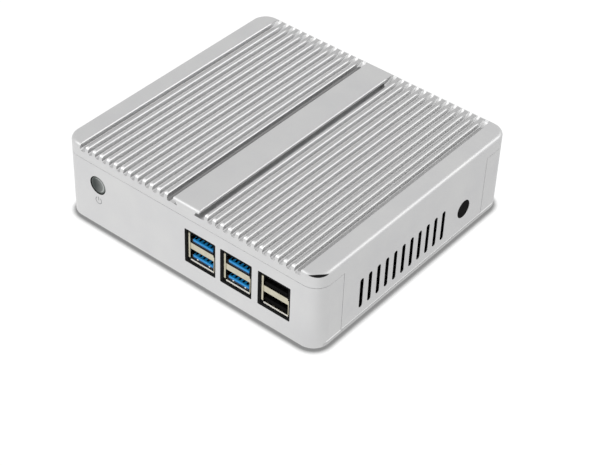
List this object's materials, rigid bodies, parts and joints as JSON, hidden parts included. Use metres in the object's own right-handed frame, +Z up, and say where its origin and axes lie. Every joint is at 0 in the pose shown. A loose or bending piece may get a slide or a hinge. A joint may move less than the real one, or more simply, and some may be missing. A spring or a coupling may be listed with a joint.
{
  "type": "fanless signage player",
  "caption": "Fanless media player in a silver aluminium case with a finned heatsink lid, front sockets, a power button, side vents and rubber feet.",
  "frame": {"origin": "centre of the footprint, on the surface that the feet stand on", "axes": "+X along the front from the power button to the last socket, +Y from the front to the back, +Z up"},
  "size_m": [0.134, 0.126, 0.039],
  "materials": {
    "anodised_aluminium": "bead-blasted, silver anodised",
    "base_sheet": "satin silver",
    "rubber": "matte",
    "screw_steel": "black oxide",
    "circuit_board": "solder resist",
    "package_green": "laminate",
    "silicon": "polished",
    "heat_pad": "soft, matte",
    "socket_shell": "plated",
    "blue_plastic": "moulded",
    "black_plastic": "moulded",
    "gold_contact": "gold flash",
    "black_foam": "fine cells, matte",
    "button_metal": "turned, satin",
    "bright_metal": "bright",
    "grey_ferrite": "matte",
    "lime_plastic": "moulded",
    "pink_plastic": "moulded"
  },
  "bodies": {
    "case": {"heatsink_cover": "anodised_aluminium", "chassis_frame": "anodised_aluminium", "base_plate": "base_sheet", "foot_front_left": "rubber", "foot_front_right": "rubber", "foot_rear_left": "rubber", "foot_rear_right": "rubber", "case_screws": "screw_steel", "board_screws": "screw_steel", "main_board": "circuit_board", "memory_module": "circuit_board", "drive_card": "circuit_board", "radio_card": "circuit_board", "cpu_package": "package_green", "cpu_die": "silicon", "thermal_pad": "heat_pad", "usb3_left_shell": "socket_shell", "usb3_right_shell": "socket_shell", "usb2_shell": "socket_shell", "usb3_left_insulator": "blue_plastic", "usb3_right_insulator": "blue_plastic", "usb2_insulator": "black_plastic", "usb3_left_contacts": "gold_contact", "usb3_right_contacts": "gold_contact", "usb2_contacts": "gold_contact", "network_contacts": "gold_contact", "usb3_left_gasket": "black_foam", "usb3_right_gasket": "black_foam", "usb2_gasket": "black_foam", "power_switch": "black_plastic", "memory_socket": "black_plastic", "drive_socket": "black_plastic", "radio_socket": "black_plastic", "coin_cell": "bright_metal", "cell_holder": "black_plastic", "inductors": "grey_ferrite", "capacitors": "bright_metal", "aerial_plug_right": "black_plastic", "aerial_plug_left": "black_plastic", "supply_socket": "black_plastic", "supply_pin": "bright_metal", "video_left_shell": "socket_shell", "video_right_shell": "socket_shell", "video_left_tongue": "black_plastic", "video_right_tongue": "black_plastic", "network_shield": "socket_shell", "network_housing": "black_plastic", "speaker_socket": "lime_plastic", "microphone_socket": "pink_plastic"},
    "power_button": {"power_button": "button_metal", "switch_plunger": "black_plastic"}
  },
  "joints": [
    {"name": "power_button_press", "type": "slide", "parent": "case", "child": "power_button", "axis": [0, 1, 0], "range_m": [0, 0.0005], "stiffness_N_per_m": 800, "springref_m": -0.0005}
  ]
}
